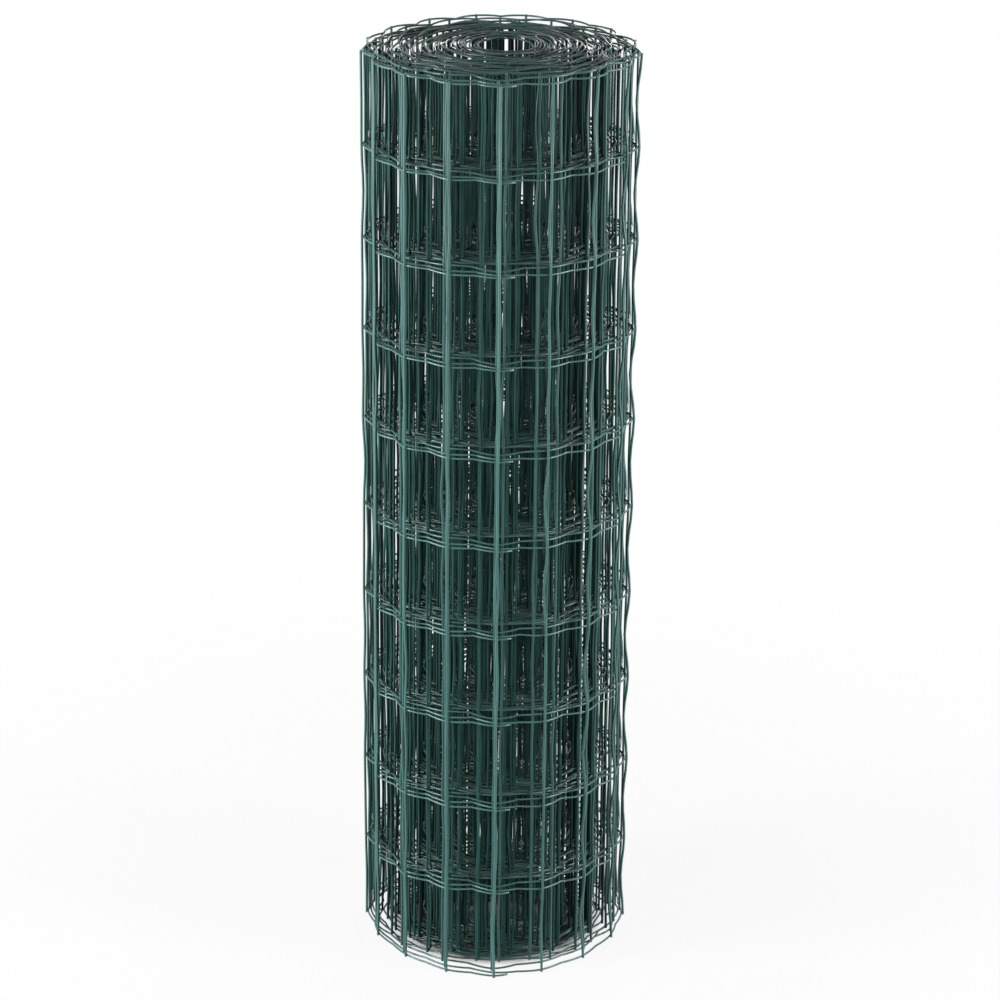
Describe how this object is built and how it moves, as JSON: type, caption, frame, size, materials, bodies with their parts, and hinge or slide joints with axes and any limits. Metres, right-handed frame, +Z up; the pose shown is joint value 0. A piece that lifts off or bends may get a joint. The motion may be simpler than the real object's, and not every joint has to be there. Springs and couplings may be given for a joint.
{
  "type": "roll of wire fencing",
  "caption": "Upright roll of green plastic-coated welded wire fencing, wound round an open core, as it is stored and carried before it is unrolled between posts.",
  "frame": {"origin": "on the roll's axis, in the plane that the roll stands on", "axes": "+Z up along the roll's axis; -Y towards the free end of the sheet, which lies at the front"},
  "size_m": [0.2951, 0.2951, 1.0121],
  "materials": {
    "green_coating": "smooth dark green plastic coating on steel wire, fairly glossy"
  },
  "bodies": {
    "root": {"fence_roll": "green_coating"}
  },
  "joints": []
}
